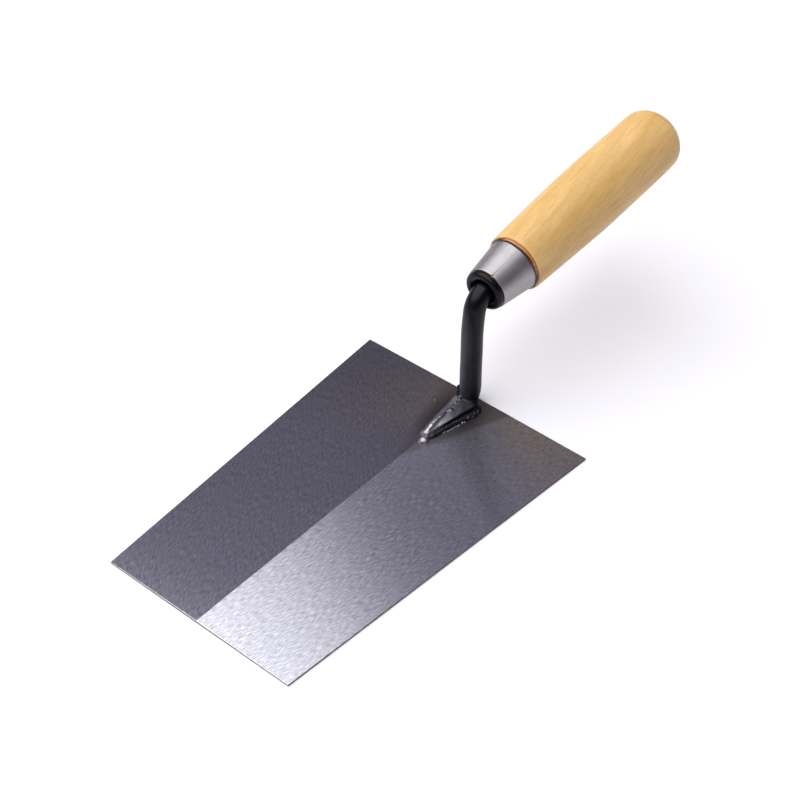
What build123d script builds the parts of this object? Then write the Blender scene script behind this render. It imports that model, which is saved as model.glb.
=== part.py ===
from build123d import *
import os
from math import cos, radians, sin, tan

# Bricklayer's bucket trowel: a taper-ground trapezoid blade, a bent round-bar shank welded to
# it by a forged foot, and a turned wooden handle that holds the shank's tang in a sheet-steel
# ferrule.  Millimetres.  The origin is in the middle of the blade's flat underside, on its
# centre line; +Y runs towards the handle and +Z is up, away from the work.

# ---- driving dimensions -------------------------------------------------------------------
blade_length = 180.0
heel_width = 127.4
toe_width = 101.6
edge_thickness = 0.8
grind_rise = 0.55  # how much thicker the blade is on its centre line than at its heel corners

bar_radius = 5.05
neck_y = 87.0  # the upright neck's centre line, just inside the heel edge
lean_z = 42.8  # where the neck starts to lean back
bend_y = 88.9  # y at which the leaning neck meets the handle's axis
lean_bend_radius = 60.0
top_bend_radius = 9.0

mouth_y, mouth_z = 96.3, 60.3  # the ferrule's narrow end, on the handle's axis
handle_tilt = 6.65  # degrees above the blade's plane

tang_length = 84.0
tang_tip_radius = 2.2

foot_nose_y = 53.0
foot_nose_radius = 2.4
foot_height_at_neck = 4.9
foot_height_at_nose = 3.0
foot_edge_radius = 0.6
throat_radius = 3.0  # inside the bend from the foot up into the neck
heel_corner_y = 92.6  # the heel's rounding starts just clear of the bar
heel_corner_radius = 4.8
foot_zone = 9.4  # below this height the bar is shaped as a foot

weld_leg_right = 2.9  # a fillet weld's leg along the blade
weld_leg_left = 1.9
weld_height = 1.4
weld_overlap = 0.2  # how far a weld's top edge laps onto the foot

ferrule_length = 19.2
ferrule_mouth_radius = 10.36
ferrule_rear_radius = 13.03
ferrule_wall = 0.9
seam_width = 0.3
seam_angle = 20.0  # degrees from straight up, towards +X
nick_size = 1.3

glue_width = 0.9
shoulder_radius = 14.4
shoulder_round = 0.8
grip_points = [(15.6, 50.0), (16.35, 81.0)]  # (radius, distance from the ferrule's mouth)
grip_end = (16.06, 122.6)
butt_points = [(12.6, 131.3), (6.2, 134.4)]
handle_length = 134.9

spigot_overhang = 2.2  # how far the wooden spigot stands out of the ferrule
nose_round = 1.4
dish_radius = 6.6
dish_depth = 3.4

# ---- places worked out from them ----------------------------------------------------------
heel_y = blade_length / 2
ridge_z = edge_thickness + grind_rise
mouth = Vector(0, mouth_y, mouth_z)
tilt = radians(handle_tilt)
handle_place = Plane(mouth, x_dir=(1, 0, 0), z_dir=(0, -sin(tilt), cos(tilt))).location
bend_z = mouth_z - (mouth_y - bend_y) * tan(tilt)
neck_front_y = neck_y - bar_radius
nose_centre_y = foot_nose_y + foot_nose_radius
spigot_mouth_radius = ferrule_mouth_radius - ferrule_wall
spigot_rear_radius = ferrule_rear_radius - ferrule_wall
shoulder_s = ferrule_length + glue_width
wide = 500.0  # larger than any piece


def make_blade():
    """A flat trapezoid plate, ground on each side to a facet that falls away from the ridge."""
    half_heel = heel_width / 2
    half_toe = toe_width / 2
    toe_y = heel_y - blade_length
    corners = [(-half_heel, heel_y), (half_heel, heel_y), (half_toe, toe_y), (-half_toe, toe_y)]
    plate = extrude(make_face(Polyline(corners, close=True)), amount=ridge_z)
    side_edge = Vector(half_heel - half_toe, blade_length, 0)
    across = Vector(half_heel, 0, -grind_rise)
    normal = across.cross(side_edge)
    facet = Plane((half_heel, heel_y, edge_thickness), z_dir=normal)
    ground = split(plate, facet, keep=Keep.BOTTOM)
    other_facet = Plane((-half_heel, heel_y, edge_thickness), z_dir=(-normal.X, normal.Y, normal.Z))
    return split(ground, other_facet, keep=Keep.BOTTOM)


def turned(*edges):
    """A solid of revolution about the handle's axis: x is the radius, y the distance along it."""
    return handle_place * revolve(make_face(edges), Axis.Y)


def make_neck():
    """The round bar: upright from the blade, leaning a little, then bent into the handle."""
    route = [(0, neck_y, 0), (0, neck_y, lean_z), (0, bend_y, bend_z), tuple(mouth)]
    path = FilletPolyline(*route, radius=[lean_bend_radius, top_bend_radius])
    return sweep(Plane(origin=path @ 0, z_dir=path % 0) * Circle(bar_radius), path)


def make_tang():
    """The bar's drawn-down end, driven into the handle."""
    tip = (tang_tip_radius, tang_length)
    return turned(Polyline((0, 0), (bar_radius, 0), tip, (0, tang_length), close=True))


def make_foot_side():
    """The foot from the side: a tongue thinning to its nose, a throat and a rounded heel."""
    corners = [
        (foot_nose_y - bar_radius, 0),
        (foot_nose_y - bar_radius, foot_height_at_nose),
        (neck_front_y, foot_height_at_neck),
        (neck_front_y, foot_zone),
        (heel_corner_y, foot_zone),
        (heel_corner_y, 0),
    ]
    outline = Polyline([(0, y, z) for y, z in corners], close=True)
    slab = extrude(make_face(outline), amount=2 * bar_radius, dir=(1, 0, 0), both=True)
    heel_corner = slab.edges().filter_by(Axis.X).group_by(Axis.Z)[0].sort_by(Axis.Y)[-1]
    slab = fillet(heel_corner, heel_corner_radius)
    throat = slab.edges().filter_by(Axis.X).sort_by_distance((0, neck_front_y, foot_height_at_neck))[0]
    return fillet(throat, throat_radius)


def tongue_plan(growth_left, growth_right, nose_growth):
    """The foot's outline from above, widened by a weld's leg on each side and at the nose."""
    shift = (growth_right - growth_left) / 2
    grown = (growth_right + growth_left) / 2
    rings = [
        Pos(shift, neck_y) * Circle(bar_radius + grown),
        Pos(shift, nose_centre_y) * Circle(foot_nose_radius + nose_growth),
    ]
    return make_hull([edge for ring in rings for edge in ring.edges()])


def make_shank(blade):
    """One forging: foot, neck and tang, its underside fitted to the blade's ridge."""
    foot = make_foot_side() & extrude(tongue_plan(0, 0, 0), amount=foot_zone)
    throat_start_y = neck_front_y - throat_radius
    tongue_top = foot.edges().filter_by_position(Axis.Y, foot_nose_y, throat_start_y)
    tongue_top = tongue_top.filter_by_position(Axis.Z, ridge_z, foot_height_at_neck)
    foot = fillet(tongue_top, foot_edge_radius)
    upper_neck = split(make_neck(), Plane.XY.offset(foot_zone), keep=Keep.TOP)
    return (upper_neck + foot + make_tang()) - blade


def make_welds(shank, blade):
    """Fillet welds round the foot, cut into the runs they were laid in."""
    top_z = ridge_z + weld_height
    toe = tongue_plan(weld_leg_left, weld_leg_right, weld_leg_left)
    top = tongue_plan(weld_overlap, weld_overlap, weld_overlap)
    bead = loft([toe, Pos(0, 0, top_z) * top], ruled=True)
    bead = split(bead - blade - shank, Plane.XZ.offset(-heel_y), keep=Keep.TOP)
    nose_block = Pos(0, nose_centre_y, 0) * Box(
        wide, wide, wide, align=(Align.CENTER, Align.MAX, Align.CENTER)
    )
    right_block = Box(wide, wide, wide, align=(Align.MIN, Align.CENTER, Align.CENTER))
    sides = bead - nose_block
    return {
        "weld_nose": bead & nose_block,
        "weld_right": sides & right_block,
        "weld_left": sides - right_block,
    }


def make_ferrule():
    """A cone rolled from sheet, its edges butted, with a nick at the mouth end of the seam."""
    wall = Polyline(
        (spigot_mouth_radius, 0),
        (ferrule_mouth_radius, 0),
        (ferrule_rear_radius, ferrule_length),
        (spigot_rear_radius, ferrule_length),
        close=True,
    )
    outwards = (Align.CENTER, Align.CENTER, Align.MIN)
    slit = Box(seam_width, wide, wide, align=outwards)
    nick = Rot(0, 0, 45) * Box(nick_size, nick_size, wide, align=outwards)
    return turned(wall) - handle_place * Rot(0, seam_angle, 0) * (slit + nick)


def make_handle(shank):
    """Turned wood: a rounded nose, a spigot for the ferrule, a shoulder and a swelling grip."""
    nose_s = -spigot_overhang
    nose = FilletPolyline(
        (dish_radius, nose_s), (spigot_mouth_radius, nose_s), (spigot_mouth_radius, 0), radius=nose_round
    )
    spigot = Polyline(
        (spigot_mouth_radius, 0), (spigot_rear_radius, ferrule_length), (spigot_rear_radius, shoulder_s)
    )
    grip_start = (shoulder_radius, shoulder_s + 2 * shoulder_round)
    shoulder = FilletPolyline(
        (spigot_rear_radius, shoulder_s), (shoulder_radius, shoulder_s), grip_start, radius=shoulder_round
    )
    grip = Spline(grip_start, *grip_points, grip_end)
    butt = Spline(grip_end, *butt_points, (0, handle_length), tangents=[(0, 1), (-1, 0)])
    core = Polyline((0, handle_length), (0, dish_depth), (dish_radius, nose_s))
    return turned(nose, spigot, shoulder, grip, butt, core) - shank


def make_glue_ring():
    """The ring of set glue that fills the gap between the ferrule and the wood's shoulder."""
    ring = Polyline(
        (spigot_rear_radius, ferrule_length),
        (ferrule_rear_radius, ferrule_length),
        (shoulder_radius - shoulder_round, shoulder_s),
        (spigot_rear_radius, shoulder_s),
        close=True,
    )
    return turned(ring)


if __name__ == "__main__":
    os.makedirs("parts", exist_ok=True)
    blade = make_blade()
    shank = make_shank(blade)
    nodes = {"blade": blade, "shank": shank, **make_welds(shank, blade)}
    nodes["ferrule"] = make_ferrule()
    nodes["handle"] = make_handle(shank)
    nodes["glue_ring"] = make_glue_ring()
    for name, solid in nodes.items():
        export_step(solid, f"parts/{name}.step")
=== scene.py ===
from math import atan2, cos, pi, radians, sin, tan

import bmesh
import bpy
from mathutils import Matrix, Vector, noise
from mathutils.geometry import interpolate_bezier


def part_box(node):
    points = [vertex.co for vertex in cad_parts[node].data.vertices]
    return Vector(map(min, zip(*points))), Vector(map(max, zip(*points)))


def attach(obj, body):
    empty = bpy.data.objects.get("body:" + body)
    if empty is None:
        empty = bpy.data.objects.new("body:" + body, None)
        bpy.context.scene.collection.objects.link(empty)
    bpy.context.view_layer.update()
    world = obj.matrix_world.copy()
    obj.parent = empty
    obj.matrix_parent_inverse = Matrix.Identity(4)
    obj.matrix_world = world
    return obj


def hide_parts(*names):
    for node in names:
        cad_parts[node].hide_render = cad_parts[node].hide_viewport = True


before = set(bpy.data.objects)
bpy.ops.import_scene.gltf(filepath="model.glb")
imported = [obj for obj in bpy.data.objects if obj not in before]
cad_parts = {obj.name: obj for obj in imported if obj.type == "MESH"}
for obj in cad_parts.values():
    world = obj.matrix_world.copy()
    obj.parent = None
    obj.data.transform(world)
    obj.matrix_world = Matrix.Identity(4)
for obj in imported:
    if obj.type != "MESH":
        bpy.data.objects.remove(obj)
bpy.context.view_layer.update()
mm = 0.001


# ---- camera -------------------------------------------------------------------------------
# A short telephoto held level, about 0.8 m off, looking down over the blade's right corner.
# Background and object are both sharp.
camera_place = Vector((379.4, -408.3, 557.8)) * mm
camera_azimuth = radians(40.41)
camera_elevation = radians(41.80)
camera_data = bpy.data.cameras.new("camera")
camera_data.lens = 81.65
camera_data.sensor_width = 36.0
camera_data.dof.use_dof = False
camera = bpy.data.objects.new("camera", camera_data)
bpy.context.scene.collection.objects.link(camera)
towards_camera = Vector(
    (
        sin(camera_azimuth) * cos(camera_elevation),
        -cos(camera_azimuth) * cos(camera_elevation),
        sin(camera_elevation),
    )
)
camera.location = camera_place
camera.rotation_mode = "QUATERNION"
camera.rotation_quaternion = (-towards_camera).to_track_quat("-Z", "Y")
bpy.context.scene.camera = camera


# ---- studio -------------------------------------------------------------------------------
# A white sweep under one very large overhead soft light, with dim grey walls all round, so
# that bright metal still has something dark to mirror.
def linear(code):
    """An sRGB hex colour as linear red, green, blue and alpha."""
    channels = [int(code[i : i + 2], 16) / 255 for i in (1, 3, 5)]
    return (*[c / 12.92 if c <= 0.04045 else ((c + 0.055) / 1.055) ** 2.4 for c in channels], 1.0)


def add_node(material, kind, inputs=None, **settings):
    """Adds a node with its settings; each input, by name or number, gets a value or a link."""
    node = material.node_tree.nodes.new(kind)
    for name, value in settings.items():
        setattr(node, name, value)
    for name, value in (inputs or {}).items():
        if isinstance(name, int):
            socket = node.inputs[name]
        else:
            socket = next(s for s in node.inputs if s.enabled and s.name == name)
        if isinstance(value, bpy.types.Node):
            value = next(s for s in value.outputs if s.enabled)
        if isinstance(value, bpy.types.NodeSocket):
            material.node_tree.links.new(value, socket)
        else:
            socket.default_value = value
    return node


def new_material(name):
    """An empty material, ready for its nodes."""
    material = bpy.data.materials.new(name)
    material.use_nodes = True
    material.node_tree.nodes.clear()
    return material


sweep_size = 12.0
sweep_bm = bmesh.new()
bmesh.ops.create_grid(sweep_bm, x_segments=1, y_segments=1, size=sweep_size / 2)
bmesh.ops.translate(sweep_bm, verts=sweep_bm.verts, vec=(0, 0, -0.1 * mm))
sweep_mesh = bpy.data.meshes.new("floor")
sweep_bm.to_mesh(sweep_mesh)
sweep_bm.free()
sweep = bpy.data.objects.new("floor", sweep_mesh)
bpy.context.scene.collection.objects.link(sweep)
sweep_white = new_material("white_paper_sweep")
sweep_shader = add_node(
    sweep_white, "ShaderNodeBsdfPrincipled", {"Base Color": linear("#eeeeee"), "Roughness": 0.9}
)
add_node(sweep_white, "ShaderNodeOutputMaterial", {"Surface": sweep_shader})
sweep_mesh.materials.append(sweep_white)

# a round softbox, filling a wide cone of the ceiling on the handle's left
softbox_direction = Vector((-0.322, -0.260, 1.0)).normalized()
softbox_half_angle = radians(41.3)
softbox_radiance = 2.84
softbox_data = bpy.data.lights.new("round_softbox", "SUN")
softbox_data.angle = 2 * softbox_half_angle
softbox_data.energy = softbox_radiance * pi * sin(softbox_half_angle) ** 2
softbox_data.color = linear("#fbfbff")[:3]
softbox = bpy.data.objects.new("round_softbox", softbox_data)
bpy.context.scene.collection.objects.link(softbox)
softbox.rotation_mode = "QUATERNION"
softbox.rotation_quaternion = softbox_direction.to_track_quat("Z", "Y")

# the walls: dim lavender grey, lit a little round the softbox
studio_world = bpy.data.worlds.new("grey_studio_walls")
studio_world.use_nodes = True
studio_world.node_tree.nodes.clear()
direction = add_node(studio_world, "ShaderNodeTexCoord").outputs["Generated"]
facing = add_node(
    studio_world,
    "ShaderNodeVectorMath",
    {0: direction, 1: softbox_direction},
    operation="DOT_PRODUCT",
)
glow = add_node(
    studio_world,
    "ShaderNodeMapRange",
    {
        "Value": facing.outputs["Value"],
        "From Min": cos(radians(58)),
        "From Max": cos(radians(42)),
        "To Min": 0.132,
        "To Max": 0.385,
    },
)
walls = add_node(
    studio_world, "ShaderNodeBackground", {"Color": linear("#e2ddfc"), "Strength": glow}
)
add_node(studio_world, "ShaderNodeOutputWorld", {"Surface": walls})
bpy.context.scene.world = studio_world
bpy.context.scene.view_settings.view_transform = "Standard"


# ---- blade --------------------------------------------------------------------------------
# Hardened sheet steel, cut to a trapezoid and belt-ground lengthwise on each side of a low
# ridge, then wiped with oil.  The grinder stops short of the foot, which leaves a dark
# triangle of the sheet's own skin at the heel.
def make_piece(bm, name, material, sharp_angle=35):
    """Makes a bmesh a smooth piece on the trowel's one body, sharp above an angle in degrees."""
    bmesh.ops.recalc_face_normals(bm, faces=bm.faces)
    mesh = bpy.data.meshes.new(name)
    bm.to_mesh(mesh)
    bm.free()
    mesh.materials.append(material)
    mesh.shade_smooth()
    mesh.set_sharp_from_angle(angle=radians(sharp_angle))
    piece = bpy.data.objects.new(name, mesh)
    bpy.context.scene.collection.objects.link(piece)
    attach(piece, "root")
    return piece


blade_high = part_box("blade")[1]
heel_y = blade_high.y
half_heel = blade_high.x
half_toe = 50.8 * mm
edge_thickness = 0.8 * mm
ridge_z = blade_high.z
edge_wear = 0.14 * mm  # the worn rounding of its corners and edges
grind_bearing = {1: radians(80), -1: radians(112.7)}  # the grinding lines' bearing on each side
bare_tip_y = 36 * mm
bare_slopes = {1: 0.385, -1: 0.31}  # how fast the unground triangle widens on each side

blade_bm = bmesh.new()
bmesh.ops.create_grid(blade_bm, x_segments=2, y_segments=1, size=1)
for vert in blade_bm.verts:
    vert.co.x *= half_heel if vert.co.y > 0 else half_toe
    vert.co.y *= heel_y
raised = bmesh.ops.extrude_face_region(blade_bm, geom=blade_bm.faces[:])
for vert in [g for g in raised["geom"] if isinstance(g, bmesh.types.BMVert)]:
    share = (half_heel if vert.co.y > 0 else half_toe) / half_heel
    rise = (ridge_z - edge_thickness) * share if abs(vert.co.x) < mm else 0
    vert.co.z = edge_thickness + rise
bmesh.ops.recalc_face_normals(blade_bm, faces=blade_bm.faces)
outer_edges = [e for e in blade_bm.edges if e.calc_face_angle(0) > radians(45)]
bmesh.ops.bevel(
    blade_bm, geom=outer_edges, offset=edge_wear, affect="EDGES", segments=2, profile=0.5, material=-1
)
grind_map = blade_bm.loops.layers.uv.new("grind")
for face in blade_bm.faces:
    bearing = grind_bearing[1 if face.calc_center_median().x > 0 else -1]
    along = Vector((cos(bearing), sin(bearing)))
    across = Vector((along.y, -along.x))
    for loop in face.loops:
        loop[grind_map].uv = (loop.vert.co.xy.dot(across), loop.vert.co.xy.dot(along))


def make_ground_steel():
    """Belt-ground carbon steel, oiled: fine lines that smear reflections across the blade."""
    steel = new_material("belt_ground_carbon_steel")
    grind = add_node(steel, "ShaderNodeUVMap", uv_map="grind")
    place = add_node(steel, "ShaderNodeTexCoord").outputs["Object"]
    # grit lines 0.5 mm apart and 3 mm long, coarser than real 120 grit so that they show
    line_place = add_node(
        steel, "ShaderNodeMapping", {"Vector": grind, "Scale": (1 / (0.5 * mm), 1 / (3 * mm), 1)}
    )
    lines = add_node(steel, "ShaderNodeTexNoise", {"Vector": line_place, "Scale": 1.0, "Detail": 2.0})
    line_tone = add_node(
        steel, "ShaderNodeMapRange", {"Value": lines, "From Min": 0.28, "From Max": 0.72}
    )
    # the belt's chatter: short blunt marks about 1.5 mm wide and 3 mm long
    chatter_place = add_node(
        steel, "ShaderNodeMapping", {"Vector": grind, "Scale": (1 / (1.5 * mm), 1 / (3 * mm), 1)}
    )
    chatter = add_node(steel, "ShaderNodeTexNoise", {"Vector": chatter_place, "Scale": 1.0, "Detail": 2.0})
    # patches of oil film, 30 to 60 mm across
    oil = add_node(steel, "ShaderNodeTexNoise", {"Vector": place, "Scale": 1 / (45 * mm), "Detail": 3.0})
    # how far inside the unground triangle a point lies, with a slightly ragged border
    spot = add_node(steel, "ShaderNodeSeparateXYZ", {"Vector": place})
    ragged = add_node(steel, "ShaderNodeTexNoise", {"Vector": place, "Scale": 1 / (9 * mm), "Detail": 4.0})
    from_tip = add_node(
        steel, "ShaderNodeMath", {0: spot.outputs["Y"], 1: bare_tip_y}, operation="SUBTRACT"
    )
    masks = {}
    for side, blur in ((1, 1.2), (-1, 3.0)):
        inwards = add_node(
            steel, "ShaderNodeMath", {0: spot.outputs["X"], 1: -side}, operation="MULTIPLY"
        )
        reach = add_node(
            steel,
            "ShaderNodeMath",
            {0: from_tip, 1: bare_slopes[side], 2: inwards},
            operation="MULTIPLY_ADD",
        )
        ragged_reach = add_node(
            steel, "ShaderNodeMath", {0: ragged, 1: 2.0 * mm, 2: reach}, operation="MULTIPLY_ADD"
        )
        masks[side] = add_node(
            steel,
            "ShaderNodeMapRange",
            {"Value": ragged_reach, "From Min": (1 - blur) * mm, "From Max": (1 + blur) * mm},
        )
    bare = add_node(steel, "ShaderNodeMath", {0: masks[1], 1: masks[-1]}, operation="MULTIPLY")
    ground = add_node(
        steel,
        "ShaderNodeMix",
        {"Factor": oil, "A": linear("#dfdfe2"), "B": linear("#ebebed")},
        data_type="RGBA",
    )
    streaked = add_node(
        steel,
        "ShaderNodeMix",
        {"Factor": line_tone, "A": linear("#bebec2"), "B": linear("#ffffff")},
        data_type="RGBA",
    )
    brushed = add_node(
        steel,
        "ShaderNodeMix",
        {"Factor": 1.0, "A": ground, "B": streaked},
        data_type="RGBA",
        blend_type="MULTIPLY",
    )
    # the left facet is a separate pass, and its colour is a little darker: partly the pass's
    # duller finish, partly painted shade for the left half, which mirrors no light
    left_pass_and_shade = add_node(
        steel,
        "ShaderNodeMapRange",
        {"Value": spot.outputs["X"], "From Min": 0.1 * mm, "From Max": -0.1 * mm},
    )
    brushed = add_node(
        steel,
        "ShaderNodeMix",
        {"Factor": left_pass_and_shade, "A": brushed, "B": linear("#f0f0f0")},
        data_type="RGBA",
        blend_type="MULTIPLY",
    )
    skin = add_node(
        steel,
        "ShaderNodeMix",
        {"Factor": ragged, "A": linear("#a5a0a2"), "B": linear("#b5b0b2")},
        data_type="RGBA",
    )
    finished = add_node(
        steel, "ShaderNodeMix", {"Factor": bare, "A": brushed, "B": skin}, data_type="RGBA"
    )
    # the skin is darkened within 15 mm or so of the foot
    from_foot = add_node(
        steel,
        "ShaderNodeMapping",
        {"Vector": place, "Location": (1 * mm, 76 * mm, 0), "Scale": (15 * mm, 28 * mm, 15 * mm)},
        vector_type="TEXTURE",
    )
    away = add_node(steel, "ShaderNodeVectorMath", {0: from_foot}, operation="LENGTH")
    foot_darkening = add_node(
        steel,
        "ShaderNodeMapRange",
        {"Value": away.outputs["Value"], "From Min": 1.0, "From Max": 0.45, "To Max": 0.75},
    )
    darkened_near_foot = add_node(
        steel, "ShaderNodeMix", {"Factor": foot_darkening, "A": finished, "B": linear("#605e5b")}, data_type="RGBA"
    )
    # the sheared side faces are left brown, between the two worn corners
    above_bottom = add_node(
        steel,
        "ShaderNodeMapRange",
        {"Value": spot.outputs["Z"], "From Min": 0.05 * mm, "From Max": 0.12 * mm},
    )
    below_top = add_node(
        steel,
        "ShaderNodeMapRange",
        {"Value": spot.outputs["Z"], "From Min": 0.76 * mm, "From Max": 0.7 * mm},
    )
    brown = add_node(steel, "ShaderNodeMath", {0: above_bottom, 1: below_top}, operation="MULTIPLY")
    colour = add_node(
        steel, "ShaderNodeMix", {"Factor": brown, "A": darkened_near_foot, "B": linear("#4a2f2c")}, data_type="RGBA"
    )
    # the belt lifts off towards the heel and leaves it duller
    lift_off = add_node(
        steel,
        "ShaderNodeMapRange",
        {"Value": spot.outputs["Y"], "From Min": 15 * mm, "From Max": 80 * mm, "To Max": 0.15},
        interpolation_type="SMOOTHSTEP",
    )
    roughness = add_node(
        steel, "ShaderNodeMapRange", {"Value": bare, "To Min": 0.24, "To Max": 0.36}
    )
    roughness = add_node(steel, "ShaderNodeMath", {0: roughness, 1: lift_off}, operation="ADD")
    chatter_bump = add_node(
        steel, "ShaderNodeBump", {"Height": chatter, "Strength": 1.0, "Distance": 0.002 * mm}
    )
    line_bump = add_node(
        steel,
        "ShaderNodeBump",
        {"Height": lines, "Strength": 1.0, "Distance": 0.0045 * mm, "Normal": chatter_bump},
    )
    tangent = add_node(steel, "ShaderNodeTangent", direction_type="UV_MAP", uv_map="grind")
    shader = add_node(
        steel,
        "ShaderNodeBsdfPrincipled",
        {
            "Base Color": colour,
            "Metallic": 1.0,
            "Roughness": roughness,
            "Anisotropic": 1.0,
            "Tangent": tangent,
            "Normal": line_bump,
        },
    )
    add_node(steel, "ShaderNodeOutputMaterial", {"Surface": shader})
    return steel


# the two facets meet at less than one degree, and each has to mirror as a plane
flat_facet_angle = 0.4
blade = make_piece(blade_bm, "blade_sheet", make_ground_steel(), flat_facet_angle)
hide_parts("blade")


# ---- shank --------------------------------------------------------------------------------
# One 10 mm round bar, forged flat and drawn out to a tongue at its foot, bent over at the
# top, and drawn down to a tang that is driven into the handle.  Dipped in black lacquer,
# which the welding and wiping have left thin and bare on the crest of the foot, where a
# painted highlight lightens the steel towards the nose.
noise.seed_set(5)  # the same unevenness on every run


def smooth_through(points, steps=8):
    """A smooth run of points through the given ones."""
    ends = [points[0] * 2 - points[1], *points, points[-1] * 2 - points[-2]]
    run = [points[0]]
    for before, start, end, after in zip(ends, ends[1:], ends[2:], ends[3:]):
        leave = start + (end - before) / 6
        arrive = end - (after - start) / 6
        run += interpolate_bezier(start, leave, arrive, end, steps + 1)[1:]
    return run


def add_lump(bm, centre, radius):
    """Adds a rounded lump of metal."""
    lump = bmesh.ops.create_icosphere(bm, subdivisions=3, radius=radius)["verts"]
    bmesh.ops.translate(bm, verts=lump, vec=centre)


def add_bead(bm, points, radii, step=0.9 * mm):
    """Adds a run of overlapping lumps, as weld metal solidifies; points and radii in mm."""
    between = 24
    path = smooth_through([Vector(point) * mm for point in points], between)
    travelled = step
    for i, here in enumerate(path):
        travelled += (here - path[max(i - 1, 0)]).length
        if travelled < step:
            continue
        travelled = 0
        stretch, share = divmod(i / between, 1)
        start, end = radii[int(stretch)], radii[min(int(stretch) + 1, len(radii) - 1)]
        radius = (start + (end - start) * share) * mm * (1 + 0.1 * noise.noise(here * 900))
        jitter = noise.noise_vector(here / mm) * 0.12 * mm
        add_lump(bm, here + jitter, radius)


def fuse(bm, voxel, rounds):
    """Melts overlapping closed shapes into one skin of small faces, and smooths it."""
    mesh = bpy.data.meshes.new("melt")
    bm.to_mesh(mesh)
    bm.free()
    melt = bpy.data.objects.new("melt", mesh)
    bpy.context.scene.collection.objects.link(melt)
    remesh = melt.modifiers.new("melt", "REMESH")
    remesh.mode = "VOXEL"
    remesh.voxel_size = voxel
    fused = bmesh.new()
    fused.from_object(melt, bpy.context.evaluated_depsgraph_get())
    bpy.data.objects.remove(melt)
    bpy.data.meshes.remove(mesh)
    for _ in range(rounds):
        bmesh.ops.smooth_vert(
            fused, verts=fused.verts, factor=0.5, use_axis_x=True, use_axis_y=True, use_axis_z=True
        )
    return fused


bar_radius = 5.05 * mm
neck_y = 87.0 * mm
lean_start = Vector((0, 87.0, 39.385)) * mm  # where the upright neck starts to lean back
lean_radius = 60 * mm
lean_angle = radians(6.515)
top_radius = 9 * mm  # of the bend into the handle
bend_to_mouth = 0.31  # mm of straight bar from that bend to the ferrule's mouth
handle_tilt = radians(6.65)
mouth = Vector((0, 96.3, 60.3)) * mm  # the ferrule's narrow end, on the handle's axis
tang_length = 84 * mm
tang_tip_radius = 2.2 * mm

shank_bm = bmesh.new()
bmesh.ops.create_circle(shank_bm, segments=72, radius=bar_radius)
bmesh.ops.translate(shank_bm, verts=shank_bm.verts, vec=(0, neck_y, edge_thickness))


def draw_out(bm, edges, step, scale=1.0):
    """Lengthens a bar from its open end, and gives the new end's edges."""
    drawn = bmesh.ops.extrude_edge_only(bm, edges=edges)["geom"]
    verts = [g for g in drawn if isinstance(g, bmesh.types.BMVert)]
    bmesh.ops.translate(bm, verts=verts, vec=step)
    centre = sum((v.co for v in verts), Vector()) / len(verts)
    bmesh.ops.scale(bm, verts=verts, vec=(scale,) * 3, space=Matrix.Translation(-centre))
    return [g for g in drawn if isinstance(g, bmesh.types.BMEdge) and g.is_boundary]


def bend(bm, edges, centre, angle, steps):
    """Bends a bar's open end towards the handle, round a centre."""
    bent = bmesh.ops.spin(
        bm, geom=edges, cent=centre, axis=(-1, 0, 0), dvec=(0, 0, 0), angle=angle, steps=steps
    )["geom_last"]
    return [g for g in bent if isinstance(g, bmesh.types.BMEdge) and g.is_boundary]


end = draw_out(shank_bm, shank_bm.edges[:], (0, 0, lean_start.z - edge_thickness))
end = bend(shank_bm, end, lean_start + Vector((0, lean_radius, 0)), lean_angle, 6)
leaning = Vector((0, sin(lean_angle), cos(lean_angle)))
handle_axis = Vector((0, cos(handle_tilt), sin(handle_tilt)))
lean_end = lean_start + Vector((0, lean_radius * (1 - cos(lean_angle)), lean_radius * sin(lean_angle)))
top_angle = pi / 2 - handle_tilt - lean_angle
top_end = mouth - handle_axis * bend_to_mouth * mm
corner_to_end = top_radius * tan(top_angle / 2)
top_start = top_end - (handle_axis + leaning) * corner_to_end
end = draw_out(shank_bm, end, top_start - lean_end)
end = bend(shank_bm, end, top_start + Vector((0, leaning.z, -leaning.y)) * top_radius, top_angle, 28)
end = draw_out(shank_bm, end, mouth - top_end)
end = draw_out(shank_bm, end, handle_axis * tang_length, tang_tip_radius / bar_radius)
bmesh.ops.holes_fill(shank_bm, edges=[e for e in shank_bm.edges if e.is_boundary])

# the tongue: a wedge with a flat top facet, steep on its right and sloping on its left
# each section: y, then its left toe, crest, right shoulder and right toe as (x, height), in mm
tongue_sections = [
    (88.5, (-4.4, -0.9), (-1.4, 3.6), (4.6, 2.2), (5.4, -0.9)),
    (84.5, (-5.0, -0.9), (-1.4, 4.0), (6.1, 2.6), (7.4, -0.9)),
    (75.0, (-4.4, -0.9), (-1.1, 3.5), (5.1, 2.4), (6.1, -0.9)),
    (67.0, (-3.6, -0.9), (-0.7, 3.1), (3.8, 2.3), (4.6, -0.9)),
    (61.0, (-2.6, -0.9), (-0.5, 2.8), (2.4, 2.2), (3.2, -0.9)),
    (55.0, (-1.4, -0.9), (-0.1, 2.2), (1.4, 1.8), (2.3, -0.9)),
]


def loft(bm, sections):
    """Adds a solid through sections along the foot: y, then (x, height over the blade) corners."""
    rings = [
        [Vector((x, y, z)) * mm + Vector((0, 0, ridge_z)) for x, z in corners]
        for y, *corners in sections
    ]
    end_face = bm.faces.new([bm.verts.new(corner) for corner in rings[0]])
    for ring, next_ring in zip(rings, rings[1:]):
        drawn = bmesh.ops.extrude_face_region(bm, geom=[end_face])["geom"]
        end_face = next(g for g in drawn if isinstance(g, bmesh.types.BMFace))
        for vert in end_face.verts:
            corner = min(range(len(ring)), key=lambda i: (vert.co - ring[i]).length)
            vert.co = next_ring[corner]
    bmesh.ops.recalc_face_normals(bm, faces=bm.faces)


loft(shank_bm, tongue_sections)

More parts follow.
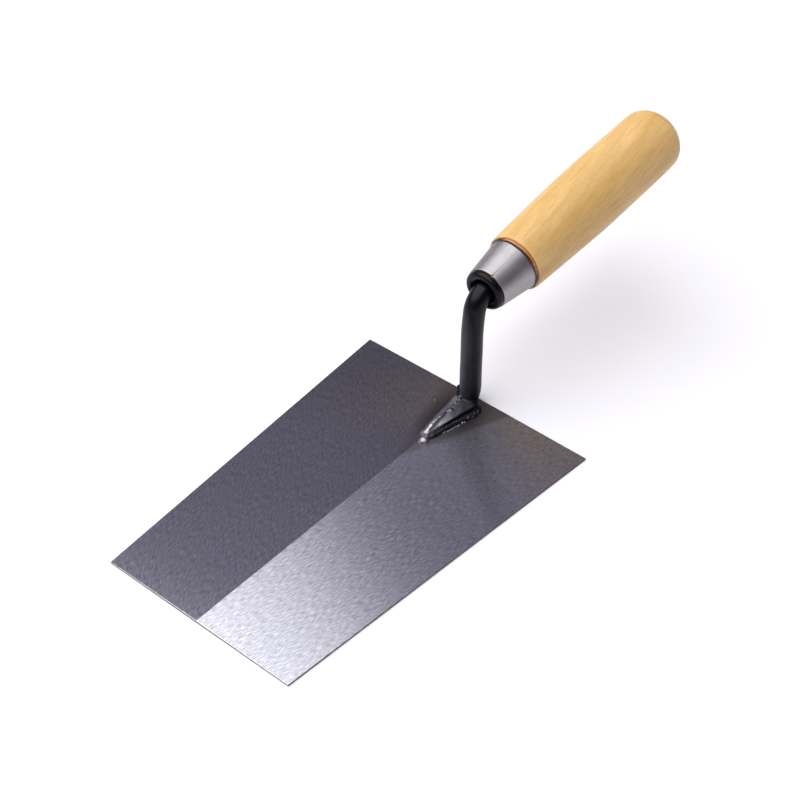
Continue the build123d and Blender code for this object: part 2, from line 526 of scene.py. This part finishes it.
# hammer and weld marks: the bright crest, and the lumps where the tongue meets the neck
foot_top = ridge_z / mm
add_bead(
    shank_bm,
    [
        (-1.0, 71.0, foot_top + 2.4),
        (-0.8, 66.0, foot_top + 2.25),
        (-0.5, 61.0, foot_top + 1.95),
        (0.0, 56.5, foot_top + 1.5),
    ],
    [1.0, 1.45, 1.6, 1.5],
)
for x, y, height, radius in (
    (-1.6, 81.4, 3.7, 1.3),
    (-1.5, 77.9, 3.0, 1.0),
    (0.2, 73.0, 2.6, 0.9),
    (-4.3, 84.4, 3.0, 1.9),
    (-4.5, 84.8, 6.0, 1.5),
):
    add_lump(shank_bm, Vector((x, y, foot_top + height)) * mm, radius * mm)
shank_voxel = 0.32 * mm
shank_bm = fuse(shank_bm, shank_voxel, 4)

# a pit in the crest, and the heel rounded off where it meets the blade
pit = Vector((-1.0, 70.8, foot_top + 3.0)) * mm
pit_depth = 0.7 * mm
pit_radius = 1.4 * mm
foot_back_y = 94 * mm  # clear of the neck, short of the handle
heel_round = 4.8 * mm
heel_back = neck_y + bar_radius * 1.04  # hammered out a little behind the bar
heel_rest = 0.04  # the share kept of what stands out behind it, so that no faces collapse
heel_chamfer = 2.1 * mm  # how much the right of the heel tucks in, dying out 10 mm up
heel_chamfer_height = 10 * mm
tucked_side = Vector((0.76, 0.65, 0))
for vert in shank_bm.verts:
    height = max(vert.co.z - ridge_z, 0)
    if vert.co.y < foot_back_y and height < heel_chamfer_height:
        if height < heel_round:
            rise = (heel_round**2 - (heel_round - height) ** 2) ** 0.5
            limit = heel_back - heel_round + rise
            if vert.co.y > limit:
                vert.co.y = limit + heel_rest * (vert.co.y - limit)
        tuck = heel_chamfer * (1 - height / heel_chamfer_height) ** 1.5
        reach = (vert.co - Vector((0, neck_y, 0))).dot(tucked_side)
        if vert.co.y > neck_y - bar_radius:
            vert.co -= tucked_side * max(0, reach - bar_radius + tuck)
        vert.co.z -= pit_depth * max(0, 1 - (vert.co - pit).length / pit_radius) ** 0.5
        vert.co += noise.noise_vector(vert.co / (2.2 * mm)) * 0.07 * mm
    vert.co += noise.noise_vector(vert.co / (9 * mm)) * 0.08 * mm


def make_black_lacquer():
    """Thin black lacquer over forge scale: near black, satin, with a faint violet cast."""
    lacquer = new_material("dipped_black_lacquer")
    place = add_node(lacquer, "ShaderNodeTexCoord").outputs["Object"]
    # orange peel in the dip, 1.5 mm apart
    peel = add_node(
        lacquer, "ShaderNodeTexNoise", {"Vector": place, "Scale": 1 / (1.5 * mm), "Detail": 3.0}
    )
    # the coat's thickness drifts over 12 mm or so
    cloud = add_node(
        lacquer, "ShaderNodeTexNoise", {"Vector": place, "Scale": 1 / (12 * mm), "Detail": 3.0}
    )
    # the foot's top is wiped back to steel, lightened towards its nose by a painted highlight;
    # its right flank stays black
    spot = add_node(lacquer, "ShaderNodeSeparateXYZ", {"Vector": place})
    forward = add_node(
        lacquer,
        "ShaderNodeMapRange",
        {"Value": spot.outputs["Y"], "From Min": 83.5 * mm, "From Max": 80 * mm},
    )
    flank_line = add_node(
        lacquer,
        "ShaderNodeMath",
        {0: spot.outputs["Y"], 1: -0.16, 2: spot.outputs["X"]},
        operation="MULTIPLY_ADD",
    )
    on_top = add_node(
        lacquer,
        "ShaderNodeMapRange",
        {"Value": flank_line, "From Min": -7.0 * mm, "From Max": -7.5 * mm},
    )
    wiped = add_node(lacquer, "ShaderNodeMath", {0: cloud, 1: 0.35}, operation="ADD", use_clamp=True)
    wiped = add_node(lacquer, "ShaderNodeMath", {0: wiped, 1: on_top}, operation="MULTIPLY")
    bare = add_node(lacquer, "ShaderNodeMath", {0: forward, 1: wiped}, operation="MULTIPLY", use_clamp=True)
    black = add_node(
        lacquer,
        "ShaderNodeMix",
        {"Factor": cloud, "A": linear("#020107"), "B": linear("#07050c")},
        data_type="RGBA",
    )
    # painted highlight: the bare steel is lighter towards the nose, where the crest catches the light
    painted_nose_highlight = add_node(
        lacquer,
        "ShaderNodeMapRange",
        {"Value": spot.outputs["Y"], "From Min": 72 * mm, "From Max": 62 * mm},
    )
    steel = add_node(
        lacquer,
        "ShaderNodeMix",
        {"Factor": painted_nose_highlight, "A": linear("#5c5a60"), "B": linear("#a6a4a9")},
        data_type="RGBA",
    )
    colour = add_node(
        lacquer, "ShaderNodeMix", {"Factor": bare, "A": black, "B": steel}, data_type="RGBA"
    )
    roughness = add_node(lacquer, "ShaderNodeMapRange", {"Value": cloud, "To Min": 0.28, "To Max": 0.4})
    bump = add_node(lacquer, "ShaderNodeBump", {"Height": peel, "Strength": 1.0, "Distance": 0.02 * mm})
    shader = add_node(
        lacquer,
        "ShaderNodeBsdfPrincipled",
        {
            "Base Color": colour,
            "Metallic": bare,
            "Roughness": roughness,
            "IOR": 1.5,
            "Specular IOR Level": 0.2,
            "Normal": bump,
        },
    )
    add_node(lacquer, "ShaderNodeOutputMaterial", {"Surface": shader})
    return lacquer


black_lacquer = make_black_lacquer()
shank = make_piece(shank_bm, "forged_shank", black_lacquer, 180)
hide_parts("shank")


# ---- welds --------------------------------------------------------------------------------
# Three runs of arc weld fix the tongue to the blade: a lacquered one along its right, a smooth
# fillet on its left and a double lump round its nose, with spatter beside the right run.
def make_weld_steel(name, dark, light):
    """Weld metal, bare or under lacquer: glossy and a little uneven."""
    weld_steel = new_material(name)
    place = add_node(weld_steel, "ShaderNodeTexCoord").outputs["Object"]
    scale_patch = add_node(
        weld_steel, "ShaderNodeTexNoise", {"Vector": place, "Scale": 1 / (2.5 * mm), "Detail": 4.0}
    )
    grain = add_node(
        weld_steel, "ShaderNodeTexNoise", {"Vector": place, "Scale": 1 / (0.6 * mm), "Detail": 3.0}
    )
    colour = add_node(
        weld_steel,
        "ShaderNodeMix",
        {"Factor": scale_patch, "A": linear(dark), "B": linear(light)},
        data_type="RGBA",
    )
    roughness = add_node(
        weld_steel, "ShaderNodeMapRange", {"Value": scale_patch, "To Min": 0.3, "To Max": 0.5}
    )
    bump = add_node(weld_steel, "ShaderNodeBump", {"Height": grain, "Strength": 1.0, "Distance": 0.05 * mm})
    shader = add_node(
        weld_steel,
        "ShaderNodeBsdfPrincipled",
        {"Base Color": colour, "Metallic": 1.0, "Roughness": roughness, "Normal": bump},
    )
    add_node(weld_steel, "ShaderNodeOutputMaterial", {"Surface": shader})
    return weld_steel


weld_root_z = 0.4 * mm  # halfway into the blade's thickness


def ripple(bm, depth, length):
    """Trims a weld's hidden underside flat inside the blade, and ripples its skin."""
    rest = bmesh.ops.bisect_plane(
        bm,
        geom=[*bm.verts, *bm.edges, *bm.faces],
        plane_co=(0, 0, weld_root_z),
        plane_no=(0, 0, 1),
        clear_inner=True,
    )
    bmesh.ops.holes_fill(bm, edges=[g for g in rest["geom_cut"] if isinstance(g, bmesh.types.BMEdge)])
    for vert in bm.verts:
        if vert.co.z > weld_root_z + 0.1 * mm:
            vert.co += noise.noise_vector(vert.co / length) * depth


weld_steel = make_weld_steel("bare_arc_weld", "#77757a", "#b4b1b2")
lacquered_weld = make_weld_steel("lacquered_arc_weld", "#2b2a31", "#4c4b52")
weld_voxel = 0.24 * mm
weld_bottom = -0.95  # mm above the blade's ridge, so inside the blade

# the right run, from the tongue's flank out to its toe: y, flank x, toe x
right_bm = bmesh.new()
right_runs = [
    (85.4, 7.2, 8.4),
    (82.6, 7.4, 10.2),
    (77.4, 6.6, 9.7),
    (72.3, 5.6, 7.8),
    (67.9, 4.7, 6.3),
    (62.5, 3.5, 5.5),
    (58.6, 2.8, 5.3),
    (54.5, 2.1, 4.2),
]
loft(
    right_bm,
    [
        (
            y,
            (flank - 1.2, weld_bottom),
            (flank - 0.8, 1.1),
            (flank + 0.45 * (toe - flank), 1.35),
            (toe - 0.3, 0.5),
            (toe, weld_bottom),
        )
        for y, flank, toe in right_runs
    ],
)
right_bm = fuse(right_bm, weld_voxel, 3)
ripple(right_bm, 0.22 * mm, 1.1 * mm)

# the left fillet, from its toe up to the tongue's crest: y, toe x, crest x, crest height
left_bm = bmesh.new()
left_runs = [
    (87.0, -6.6, -1.4, 3.4),
    (84.2, -6.9, -0.9, 3.65),
    (78.5, -6.1, -0.8, 3.35),
    (71.8, -5.4, -0.4, 2.95),
    (66.0, -4.7, -0.2, 2.6),
    (59.7, -3.8, 0.0, 2.1),
    (54.5, -2.5, 0.2, 1.3),
]
loft(
    left_bm,
    [
        (
            y,
            (crest, weld_bottom),
            (toe, weld_bottom),
            (toe + 0.2, 0.3),
            (toe + 0.5 * (crest - toe), 0.57 * height),
            (crest, height),
        )
        for y, toe, crest, height in left_runs
    ],
)
left_bm = fuse(left_bm, weld_voxel, 4)
ripple(left_bm, 0.12 * mm, 2.0 * mm)
stray_spatter = Vector((-12.0, 76.0, foot_top - 0.15)) * mm
add_lump(left_bm, stray_spatter, 0.35 * mm)

# the double lump round the nose: x, y, height over the blade, radius
nose_bm = bmesh.new()
for x, y, height, radius in (
    (0.0, 56.2, 0.3, 2.2),
    (1.9, 51.6, -0.3, 2.45),
    (-1.3, 56.0, -0.4, 1.9),
    (2.2, 53.4, -0.6, 1.6),
):
    add_lump(nose_bm, Vector((x, y, foot_top + height)) * mm, radius * mm)
nose_bm = fuse(nose_bm, weld_voxel, 2)
ripple(nose_bm, 0.12 * mm, 1.2 * mm)

# spatter along the right run's toe, as bare and bright as the nose
nib_count = 11
for i in range(nib_count):
    share = i / (nib_count - 1)
    nib = Vector((8.1 - 2.5 * share, 73.0 - 12.0 * share, foot_top - 0.05)) * mm
    nib += noise.noise_vector(nib * 4000) * 0.8 * mm
    add_lump(nose_bm, nib, (0.42 + 0.35 * noise.noise(nib * 3000)) * mm)

for bm, node, finish in (
    (right_bm, "weld_right", lacquered_weld),
    (left_bm, "weld_left", weld_steel),
    (nose_bm, "weld_nose", weld_steel),
):
    bead = make_piece(bm, node + "_run", finish, 180)
    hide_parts(node)


# ---- ferrule ------------------------------------------------------------------------------
# A cone rolled from 0.9 mm sheet steel, its edges butted but not welded, with a nick at the
# narrow end of the seam and one punch mark that pins it to the wood.
handle_frame = Matrix.Translation(mouth) @ Matrix.Rotation(handle_tilt, 4, "X")
ferrule_length = 19.2 * mm
ferrule_mouth_radius = 10.36 * mm
ferrule_rear_radius = 13.03 * mm
ferrule_wall = 0.9 * mm
seam_angle = radians(20)  # from straight up, towards the right
seam_width = 0.05 * mm
nick_reach = 0.55 * mm
nick_depth = 1.3 * mm
seam_gape = 12 * mm  # as far as the seam stands a little open
nick_zone = 0.6 * mm  # what moves with the nick, either side of the seam
gape_zone = 0.4 * mm
rim_round = 0.22 * mm
punch_angle = radians(84)
punch_distance = 6 * mm
punch_radius = 1.3 * mm
punch_depth = 0.22 * mm

ferrule_bm = bmesh.new()
wall_corners = [
    (ferrule_mouth_radius - ferrule_wall, 0),
    (ferrule_mouth_radius, 0),
    (ferrule_rear_radius, ferrule_length),
    (ferrule_rear_radius - ferrule_wall, ferrule_length),
]
ferrule_bm.faces.new([ferrule_bm.verts.new((r, s, 0)) for r, s in wall_corners])
bmesh.ops.bevel(
    ferrule_bm,
    geom=ferrule_bm.verts[:],
    offset=rim_round,
    affect="VERTICES",
    segments=3,
    profile=0.5,
    material=-1,
)
long_edges = [e for e in ferrule_bm.edges if e.calc_length() > 5 * mm]
bmesh.ops.subdivide_edges(ferrule_bm, edges=long_edges, cuts=30)
gap_angle = seam_width / ferrule_mouth_radius
# the profile lies at +X, a quarter turn from the top; the seam's far side is where it starts
start_turn = Matrix.Rotation(seam_angle - pi / 2 + gap_angle / 2, 3, "Y")
bmesh.ops.rotate(ferrule_bm, verts=ferrule_bm.verts, cent=(0, 0, 0), matrix=start_turn)
bmesh.ops.spin(
    ferrule_bm,
    geom=[*ferrule_bm.verts, *ferrule_bm.edges, *ferrule_bm.faces],
    cent=(0, 0, 0),
    axis=(0, 1, 0),
    dvec=(0, 0, 0),
    angle=2 * pi - gap_angle,
    steps=140,
)
for vert in ferrule_bm.verts:
    angle = atan2(vert.co.x, vert.co.z)  # from straight up, towards the right
    from_seam = (angle - seam_angle + pi) % (2 * pi) - pi
    reach = abs(from_seam) * ferrule_mouth_radius
    if reach < nick_zone and vert.co.y < nick_depth:
        opening = nick_reach * (1 - vert.co.y / nick_depth) / ferrule_mouth_radius
        vert.co = Matrix.Rotation(opening * (1 if from_seam > 0 else -1), 3, "Y") @ vert.co
    elif reach < gape_zone and vert.co.y < seam_gape:
        gape = max(0, 0.6 + noise.noise((0, vert.co.y / (1.4 * mm), 0)) * 1.6)
        opening = 0.09 * mm * gape * (1 - vert.co.y / seam_gape) / ferrule_mouth_radius
        vert.co = Matrix.Rotation(opening * (1 if from_seam > 0 else -1), 3, "Y") @ vert.co
    outwards = Vector((vert.co.x, 0, vert.co.z)).normalized()
    punched = Vector(((angle - punch_angle) * ferrule_mouth_radius, vert.co.y - punch_distance)).length
    dent = punch_depth * max(0, 1 - (punched / punch_radius) ** 2)
    wander = noise.noise(vert.co / (7 * mm)) * 0.05 * mm
    vert.co += outwards * (wander - dent)
bmesh.ops.transform(ferrule_bm, matrix=handle_frame, verts=ferrule_bm.verts)


def make_ferrule_steel():
    """Rolled mild steel, tumbled bright: satin, finely scratched, with a few dark specks."""
    ferrule_steel = new_material("tumbled_mild_steel")
    place = add_node(ferrule_steel, "ShaderNodeTexCoord").outputs["Object"]
    along = add_node(
        ferrule_steel,
        "ShaderNodeMapping",
        {"Vector": place, "Location": mouth, "Rotation": (handle_tilt, 0, 0)},
        vector_type="TEXTURE",
    )
    # drawing scratches 0.3 mm apart and 6 mm long
    scratch_place = add_node(
        ferrule_steel,
        "ShaderNodeMapping",
        {"Vector": along, "Scale": (1 / (0.3 * mm), 1 / (6 * mm), 1 / (0.3 * mm))},
    )
    scratches = add_node(
        ferrule_steel, "ShaderNodeTexNoise", {"Vector": scratch_place, "Scale": 1.0, "Detail": 2.0}
    )
    # dull patches 5 mm across, and specks of dirt under 1 mm
    cloud = add_node(
        ferrule_steel, "ShaderNodeTexNoise", {"Vector": place, "Scale": 1 / (5 * mm), "Detail": 4.0}
    )
    speck = add_node(
        ferrule_steel, "ShaderNodeTexNoise", {"Vector": place, "Scale": 1 / (0.9 * mm), "Detail": 2.0}
    )
    clean = add_node(
        ferrule_steel,
        "ShaderNodeMix",
        {"Factor": cloud, "A": linear("#9b9794"), "B": linear("#aeaba9")},
        data_type="RGBA",
    )
    dirty = add_node(
        ferrule_steel,
        "ShaderNodeMapRange",
        {"Value": speck, "From Min": 0.66, "From Max": 0.74, "To Max": 0.6},
    )
    colour = add_node(
        ferrule_steel,
        "ShaderNodeMix",
        {"Factor": dirty, "A": clean, "B": linear("#4a4440")},
        data_type="RGBA",
    )
    roughness = add_node(
        ferrule_steel, "ShaderNodeMapRange", {"Value": cloud, "To Min": 0.42, "To Max": 0.55}
    )
    bump = add_node(
        ferrule_steel, "ShaderNodeBump", {"Height": scratches, "Strength": 1.0, "Distance": 0.012 * mm}
    )
    shader = add_node(
        ferrule_steel,
        "ShaderNodeBsdfPrincipled",
        {"Base Color": colour, "Metallic": 1.0, "Roughness": roughness, "Normal": bump},
    )
    add_node(ferrule_steel, "ShaderNodeOutputMaterial", {"Surface": shader})
    return ferrule_steel


ferrule = make_piece(ferrule_bm, "rolled_ferrule", make_ferrule_steel())
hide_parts("ferrule")


# ---- handle -------------------------------------------------------------------------------
# Turned birch under clear varnish.  Its spigot fills the ferrule and stands out of it as a
# rounded, slightly mushroomed nose, which is dipped in the shank's black lacquer.
shoulder_s = 20.1  # mm from the ferrule's mouth

# its profile: (radius, distance from the ferrule's mouth), in mm, from the bore's end outwards
bore_end = [(0.0, 84.6), (2.26, 84.6)]
nose_run = [
    (5.11, 1.8),
    (5.3, 0.4),
    (5.6, -0.9),
    (6.2, -2.1),
    (7.4, -2.9),
    (8.7, -2.85),
    (9.6, -2.1),
    (9.85, -1.1),
    (9.7, -0.35),
    (9.43, -0.1),
]
spigot_run = [(9.42, 0.2), (12.05, 19.2), (12.05, shoulder_s)]
shoulder_run = [(13.5, shoulder_s), (14.1, 20.35), (14.4, 21.0)]
grip_run = [
    (14.4, 21.0),
    (14.65, 25.0),
    (15.6, 50.0),
    (16.2, 68.0),
    (16.35, 81.0),
    (16.3, 105.0),
    (16.06, 122.6),
    (15.3, 127.6),
    (12.6, 131.3),
    (9.4, 133.4),
    (6.2, 134.4),
    (3.0, 134.85),
]


def turn(bm, profile, steps):
    """Turns a profile of (radius, distance) points, in millimetres, round the handle's axis."""
    verts = [bm.verts.new((r * mm, s * mm, 0)) for r, s in profile]
    edges = [bm.edges.new(pair) for pair in zip(verts, verts[1:])]
    bmesh.ops.spin(
        bm,
        geom=verts + edges,
        cent=(0, 0, 0),
        axis=(0, 1, 0),
        dvec=(0, 0, 0),
        angle=2 * pi,
        steps=steps,
        use_merge=True,
    )
    bmesh.ops.remove_doubles(bm, verts=bm.verts, dist=0.001 * mm)


def rounded(run, steps=6):
    """A smooth profile through the given (radius, distance) points."""
    return [(p.x, p.y) for p in smooth_through([Vector(point) for point in run], steps)]


handle_bm = bmesh.new()
handle_profile = [
    *bore_end,
    *rounded(nose_run),
    *spigot_run,
    *rounded(shoulder_run),
    *rounded(grip_run, 8)[1:],
    (0.0, 134.9),
]
turn(handle_bm, handle_profile, 96)
bmesh.ops.transform(handle_bm, matrix=handle_frame, verts=handle_bm.verts)


def make_birch():
    """Varnished birch: pale gold, faint lengthwise streaks and flecks, under a clear gloss."""
    birch = new_material("varnished_birch")
    place = add_node(birch, "ShaderNodeTexCoord").outputs["Object"]
    turned_place = add_node(
        birch,
        "ShaderNodeMapping",
        {"Vector": place, "Location": mouth, "Rotation": (handle_tilt, 0, 0)},
        vector_type="TEXTURE",
    )
    # the billet's grain runs a few degrees off the handle's axis
    grain_place = add_node(
        birch, "ShaderNodeMapping", {"Vector": turned_place, "Rotation": (0, 0, radians(-7))}
    )
    # each pattern's width across the grain and length along it, in mm
    patterns = {}
    for name, width, length, detail in (
        ("figure", 7.0, 45.0, 4.0),
        ("streaks", 1.3, 14.0, 3.0),
        ("flecks", 0.5, 2.4, 1.0),
    ):
        stretched = add_node(
            birch,
            "ShaderNodeMapping",
            {"Vector": grain_place, "Scale": (1 / (width * mm), 1 / (length * mm), 1 / (width * mm))},
        )
        patterns[name] = add_node(
            birch, "ShaderNodeTexNoise", {"Vector": stretched, "Scale": 1.0, "Detail": detail}
        )
    figure = add_node(
        birch, "ShaderNodeMapRange", {"Value": patterns["figure"], "From Min": 0.3, "From Max": 0.7}
    )
    early = add_node(
        birch,
        "ShaderNodeMix",
        {"Factor": figure, "A": linear("#d2a963"), "B": linear("#e5be7b")},
        data_type="RGBA",
    )
    streak = add_node(
        birch,
        "ShaderNodeMapRange",
        {"Value": patterns["streaks"], "From Min": 0.42, "From Max": 0.75, "To Max": 0.5},
    )
    late = add_node(
        birch, "ShaderNodeMix", {"Factor": streak, "A": early, "B": linear("#c29657")}, data_type="RGBA"
    )
    fleck = add_node(
        birch,
        "ShaderNodeMapRange",
        {"Value": patterns["flecks"], "From Min": 0.62, "From Max": 0.74, "To Max": 0.35},
    )
    wood = add_node(
        birch, "ShaderNodeMix", {"Factor": fleck, "A": late, "B": linear("#ae8044")}, data_type="RGBA"
    )
    roughness = add_node(
        birch, "ShaderNodeMapRange", {"Value": patterns["streaks"], "To Min": 0.4, "To Max": 0.55}
    )
    bump = add_node(
        birch, "ShaderNodeBump", {"Height": patterns["streaks"], "Strength": 1.0, "Distance": 0.02 * mm}
    )
    shader = add_node(
        birch,
        "ShaderNodeBsdfPrincipled",
        {
            "Base Color": wood,
            "Roughness": roughness,
            "IOR": 1.5,
            "Specular IOR Level": 0.28,
            "Coat Weight": 0.15,
            "Coat Roughness": 0.25,
            "Normal": bump,
        },
    )
    add_node(birch, "ShaderNodeOutputMaterial", {"Surface": shader})
    return birch


handle = make_piece(handle_bm, "turned_handle", make_birch(), 50)
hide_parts("handle")

# the skin of black lacquer that the dip left on the nose, from just inside its bore outwards
skin_thickness = 0.1
dip_start = 6  # how many of the nose's points lie too deep in the bore for the dip
nose_path = rounded(nose_run)[dip_start:]
outside = []
for before, (r, s), after in zip(nose_path, nose_path[1:], nose_path[2:]):
    away = Vector((after[1] - before[1], before[0] - after[0])).normalized() * skin_thickness
    outside.append((r + away.x, s + away.y))
dip_bm = bmesh.new()
turn(dip_bm, [*outside, *reversed(nose_path[1:-1]), outside[0]], 96)
bmesh.ops.transform(dip_bm, matrix=handle_frame, verts=dip_bm.verts)
dip = make_piece(dip_bm, "dipped_nose_skin", black_lacquer, 50)


# ---- glue ring ----------------------------------------------------------------------------
# Amber glue pressed out between the ferrule's wide end and the wood's shoulder, then set
# hard: thickest at the top right, with dark edges on either side.
thickest_angle = radians(28)  # from straight up, towards the right
ring_radius = 13.0 * mm
ring_distance = 19.65 * mm  # from the ferrule's mouth, along the handle
glue_bm = bmesh.new()
bead_verts = bmesh.ops.create_circle(glue_bm, segments=16, radius=1.0 * mm)["verts"]
bmesh.ops.translate(glue_bm, verts=bead_verts, vec=(ring_radius, ring_distance, 0))
bmesh.ops.spin(
    glue_bm,
    geom=[*glue_bm.verts, *glue_bm.edges],
    cent=(0, 0, 0),
    axis=(0, 1, 0),
    dvec=(0, 0, 0),
    angle=2 * pi,
    steps=180,
    use_merge=True,
)
for vert in glue_bm.verts:
    angle = atan2(vert.co.x, vert.co.z)
    radius = Vector((vert.co.x, vert.co.z)).length
    outwards = Vector((vert.co.x, 0, vert.co.z)) / radius
    swell = 0.5 + 0.5 * cos(angle - thickest_angle)
    round_about = outwards * 3 + Vector((5, 0, 0))
    uneven = noise.noise(round_about * 2.2)
    width = 0.42 + 0.95 * swell**2 + 0.15 * uneven
    proud = 0.5 + 0.6 * swell + 0.15 * noise.noise(round_about * 4)
    new_radius = ring_radius - 0.1 * mm + (radius - ring_radius) * proud
    shift = (0.25 * uneven - 0.3 * swell**2) * mm
    new_distance = ring_distance + (vert.co.y - ring_distance) * width + shift
    vert.co = outwards * new_radius + Vector((0, new_distance, 0))
bmesh.ops.transform(glue_bm, matrix=handle_frame, verts=glue_bm.verts)


def make_amber_glue():
    """Set hide glue: glassy amber, darker where it is thick, and darker along both edges."""
    amber = new_material("set_amber_glue")
    place = add_node(amber, "ShaderNodeTexCoord").outputs["Object"]
    turned_place = add_node(
        amber,
        "ShaderNodeMapping",
        {"Vector": place, "Location": mouth, "Rotation": (handle_tilt, 0, 0)},
        vector_type="TEXTURE",
    )
    spot = add_node(amber, "ShaderNodeSeparateXYZ", {"Vector": turned_place})
    cloud = add_node(
        amber, "ShaderNodeTexNoise", {"Vector": place, "Scale": 1 / (2.2 * mm), "Detail": 3.0}
    )
    # dark edges either side of a clear middle that wanders along the ring
    wander = add_node(
        amber, "ShaderNodeMath", {0: cloud, 1: 0.8 * mm, 2: spot.outputs["Y"]}, operation="MULTIPLY_ADD"
    )
    off_middle = add_node(amber, "ShaderNodeMath", {0: wander, 1: 19.7 * mm}, operation="SUBTRACT")
    off_middle = add_node(amber, "ShaderNodeMath", {0: off_middle}, operation="ABSOLUTE")
    edge = add_node(
        amber,
        "ShaderNodeMapRange",
        {"Value": off_middle, "From Min": 0.45 * mm, "From Max": 0.75 * mm},
    )
    # the thick part at the top right is clear amber; the thin rest is stained dark
    thick_side = add_node(
        amber,
        "ShaderNodeVectorMath",
        {0: turned_place, 1: (sin(thickest_angle), 0, cos(thickest_angle))},
        operation="DOT_PRODUCT",
    )
    thin = add_node(
        amber,
        "ShaderNodeMapRange",
        {"Value": thick_side.outputs["Value"], "From Min": 11.5 * mm, "From Max": 7 * mm},
    )
    dark_edges_and_stain = add_node(amber, "ShaderNodeMath", {0: edge, 1: thin}, operation="MAXIMUM")
    colour = add_node(
        amber,
        "ShaderNodeMix",
        {"Factor": dark_edges_and_stain, "A": linear("#c2762f"), "B": linear("#3a1c0b")},
        data_type="RGBA",
    )
    roughness = add_node(amber, "ShaderNodeMapRange", {"Value": cloud, "To Min": 0.15, "To Max": 0.4})
    bump = add_node(amber, "ShaderNodeBump", {"Height": cloud, "Strength": 1.0, "Distance": 0.1 * mm})
    shader = add_node(
        amber,
        "ShaderNodeBsdfPrincipled",
        {"Base Color": colour, "Roughness": roughness, "IOR": 1.53, "Normal": bump},
    )
    add_node(amber, "ShaderNodeOutputMaterial", {"Surface": shader})
    return amber


glue_ring = make_piece(glue_bm, "squeezed_glue_ring", make_amber_glue(), 180)
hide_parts("glue_ring")


# ---- size ---------------------------------------------------------------------------------
# The scene's placements are brought up to date.
bpy.context.view_layer.update()
